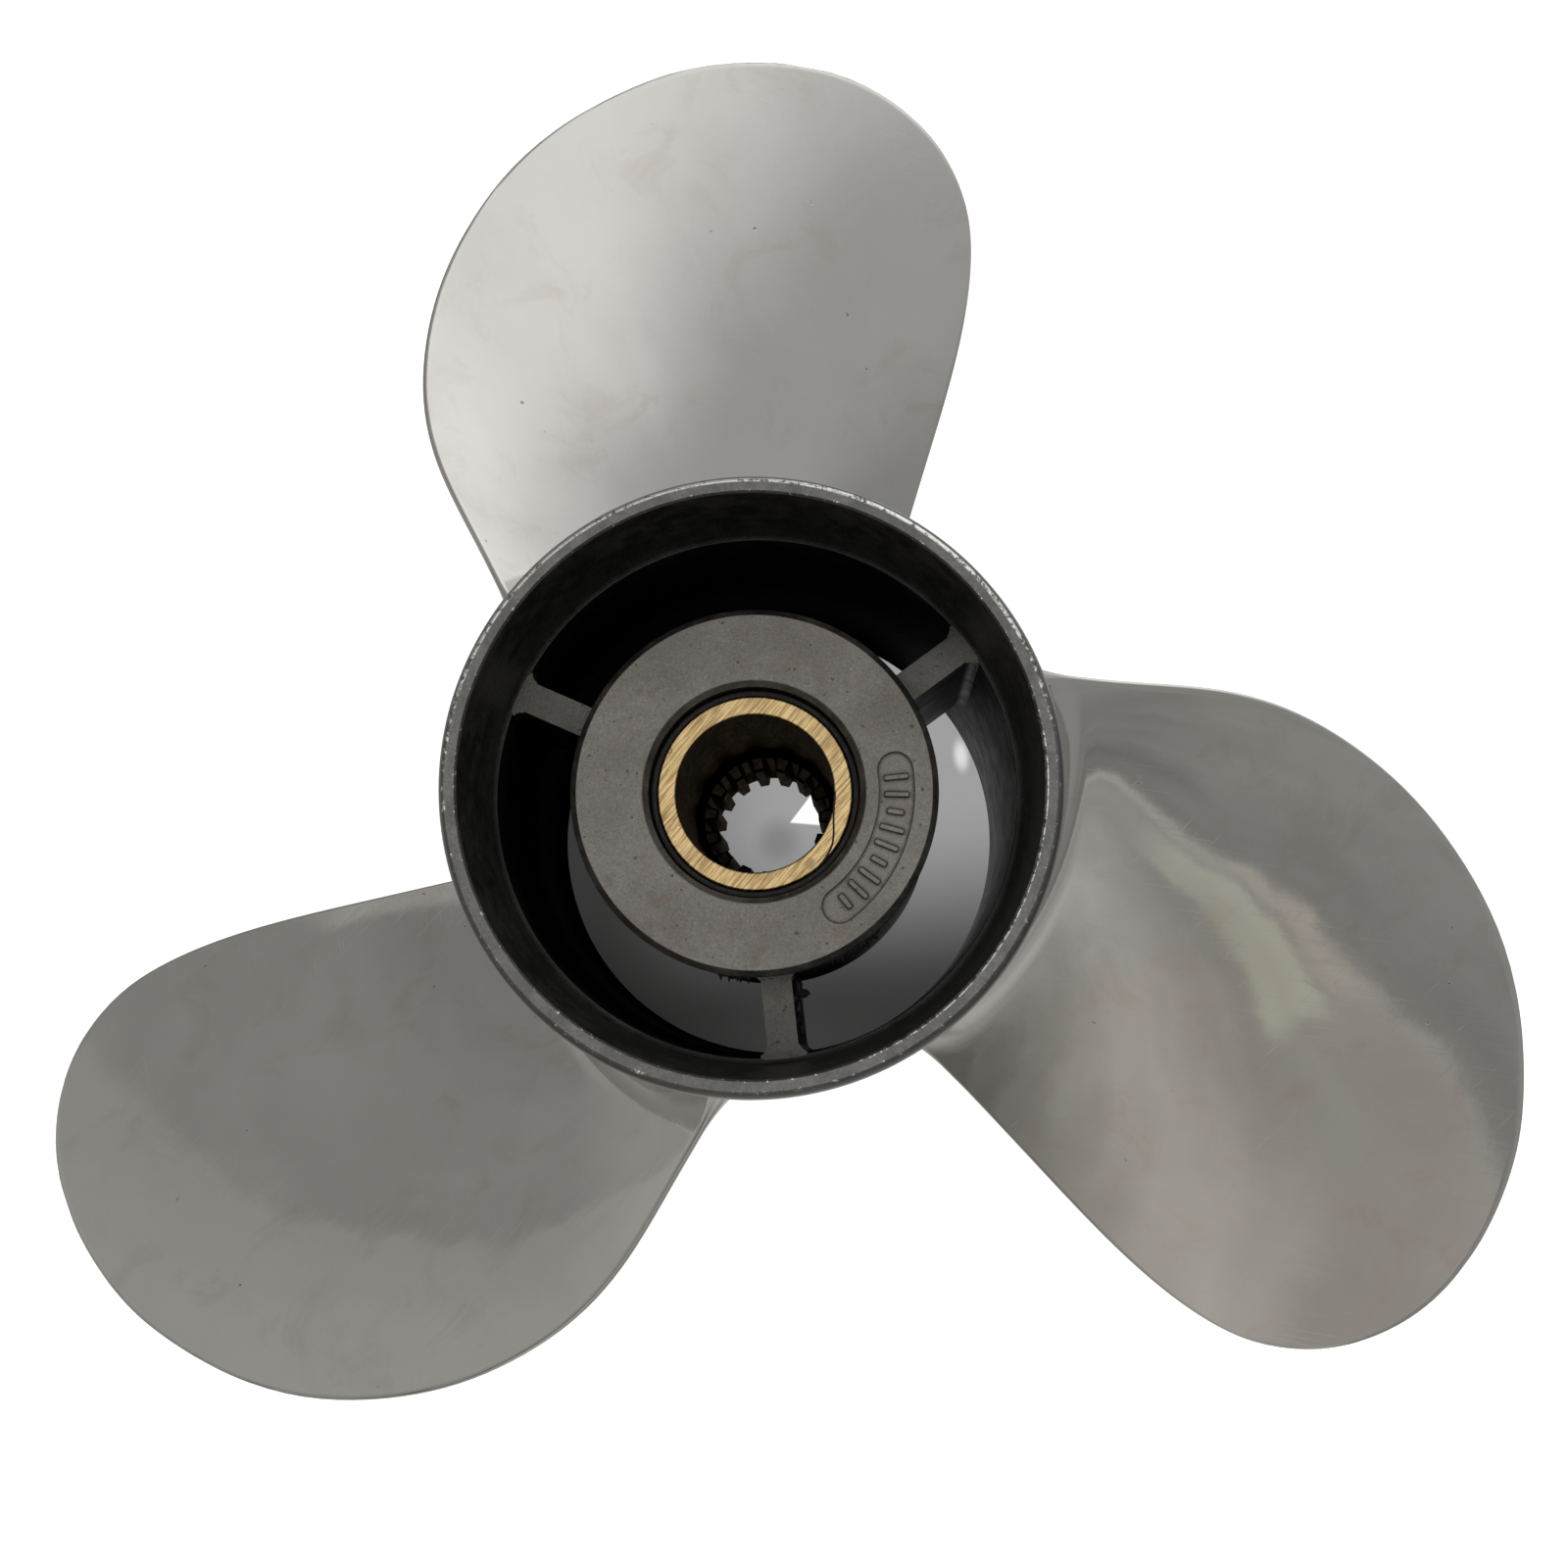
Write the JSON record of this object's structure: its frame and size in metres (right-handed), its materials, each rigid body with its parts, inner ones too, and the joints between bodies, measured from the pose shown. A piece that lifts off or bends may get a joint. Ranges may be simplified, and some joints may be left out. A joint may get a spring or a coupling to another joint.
{
  "type": "boat propeller",
  "caption": "Right-hand outboard boat propeller with wide rounded blades, a flared exhaust hub, and a splined brass sleeve held in a hidden rubber bush.",
  "frame": {"origin": "on the shaft axis, in the plane of the barrel's forward end, which the propeller stands on when its aft end is up", "axes": "+Z aft along the shaft axis, out of the flared end; +Y along the reference line of blade_1; +X to the right seen from aft with blade_1 up"},
  "size_m": [0.3041, 0.2877, 0.124],
  "materials": {
    "polished_stainless": "hand-polished stainless steel, soft mirror with fine hairline scratches",
    "as_cast_stainless": "as-cast, bead-blasted stainless steel, matte grey",
    "sleeve_brass": "sawn and brushed brass face, dull greasy bore",
    "bush_rubber": "matte black moulded rubber"
  },
  "bodies": {
    "drive_sleeve": {"splined_sleeve": "sleeve_brass"},
    "propeller": {"hub_barrel": "polished_stainless", "diffuser_ring": "as_cast_stainless", "inner_hub": "as_cast_stainless", "rib_1": "as_cast_stainless", "rib_2": "as_cast_stainless", "rib_3": "as_cast_stainless", "blade_1": "polished_stainless", "blade_2": "polished_stainless", "blade_3": "polished_stainless", "rubber_bush": "bush_rubber"}
  },
  "joints": [
    {"name": "hub_bush_torsion", "type": "hinge", "parent": "drive_sleeve", "child": "propeller", "pos_m": [0, 0, 0.062], "axis": [0, 0, 1], "range_deg": [-8, 8], "stiffness_Nm_per_rad": 2000}
  ]
}
